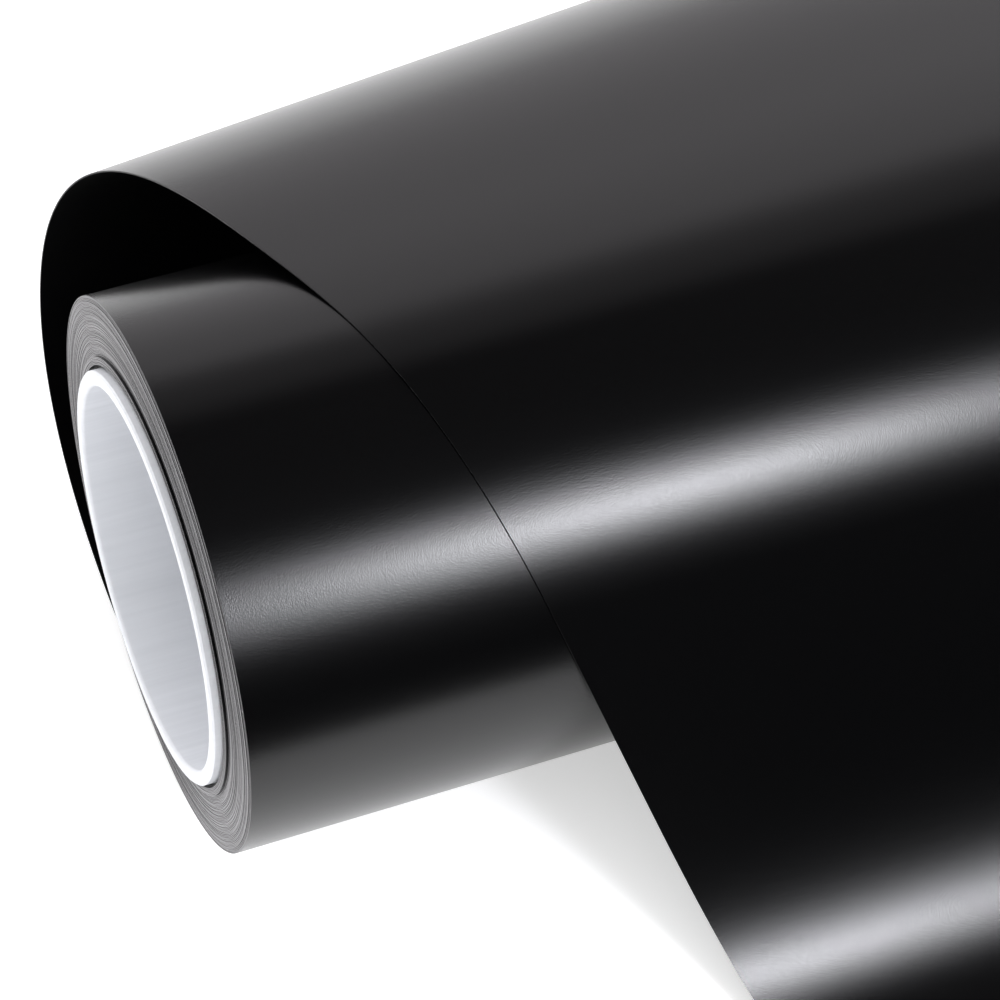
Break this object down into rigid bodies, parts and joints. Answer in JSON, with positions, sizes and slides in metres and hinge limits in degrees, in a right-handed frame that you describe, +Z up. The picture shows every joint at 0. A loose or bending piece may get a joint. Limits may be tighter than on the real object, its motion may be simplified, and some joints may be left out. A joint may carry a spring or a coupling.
{
  "type": "roll of sign vinyl",
  "caption": "Roll of adhesive sign vinyl on a plain core, resting on its loose last turn, which curls up behind the roll, lies over its front and runs out flat before it.",
  "frame": {"origin": "centre of the core's bore, half way along the roll", "axes": "+X along the core's bore, +Z up from the surface the roll lies on, -Y towards the flat end of the loose sheet"},
  "size_m": [0.4354, 0.4038, 0.1123],
  "materials": {
    "core_plastic": "smooth white plastic tube, slightly satin",
    "tape": "translucent double-sided tape",
    "wound_vinyl": "edges of many thin black turns",
    "film_face": "satin black vinyl with a very fine grain",
    "liner_back": "smooth coated liner, black"
  },
  "bodies": {
    "loose_web": {"face_film": "film_face", "release_liner": "liner_back"},
    "roll": {"core_tube": "core_plastic", "start_tape": "tape", "wound_turns": "wound_vinyl"}
  },
  "joints": [
    {"name": "roll_spin", "type": "hinge", "parent": "loose_web", "child": "roll", "pos_m": [0, 0, 0], "axis": [1, 0, 0], "continuous": true}
  ]
}
